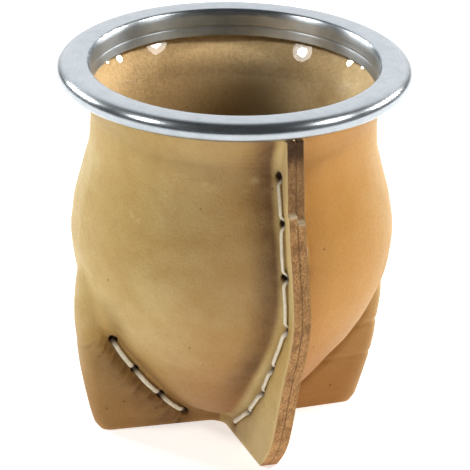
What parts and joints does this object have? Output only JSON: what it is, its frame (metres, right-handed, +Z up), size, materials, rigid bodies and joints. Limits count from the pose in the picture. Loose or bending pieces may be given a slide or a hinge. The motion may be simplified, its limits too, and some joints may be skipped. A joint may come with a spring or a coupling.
{
  "type": "leather covered mate cup",
  "caption": "Empty mate cup: a glass tumbler sewn into natural leather that folds down into finned feet, with a flat aluminium rim ring round its mouth.",
  "frame": {"origin": "on the floor plane under the centre of the cup's bounding box", "axes": "+Z up through the mouth, -Y towards the sewn seam at the front, +X to the right seen from the front"},
  "size_m": [0.088, 0.0902, 0.0954],
  "materials": {
    "leather": "natural vegetable tanned, smooth grain, soft sheen, brown cut edges",
    "glass": "clear, glossy",
    "aluminium": "spun and polished, fine turning marks",
    "thread": "waxed off-white thread"
  },
  "bodies": {
    "root": {"leather_cover": "leather", "glass_liner": "glass", "rim_ring": "aluminium", "thread_front_a": "thread", "thread_front_b": "thread", "thread_right_a": "thread", "thread_right_b": "thread", "thread_back_a": "thread", "thread_back_b": "thread", "thread_left_a": "thread", "thread_left_b": "thread"}
  },
  "joints": []
}
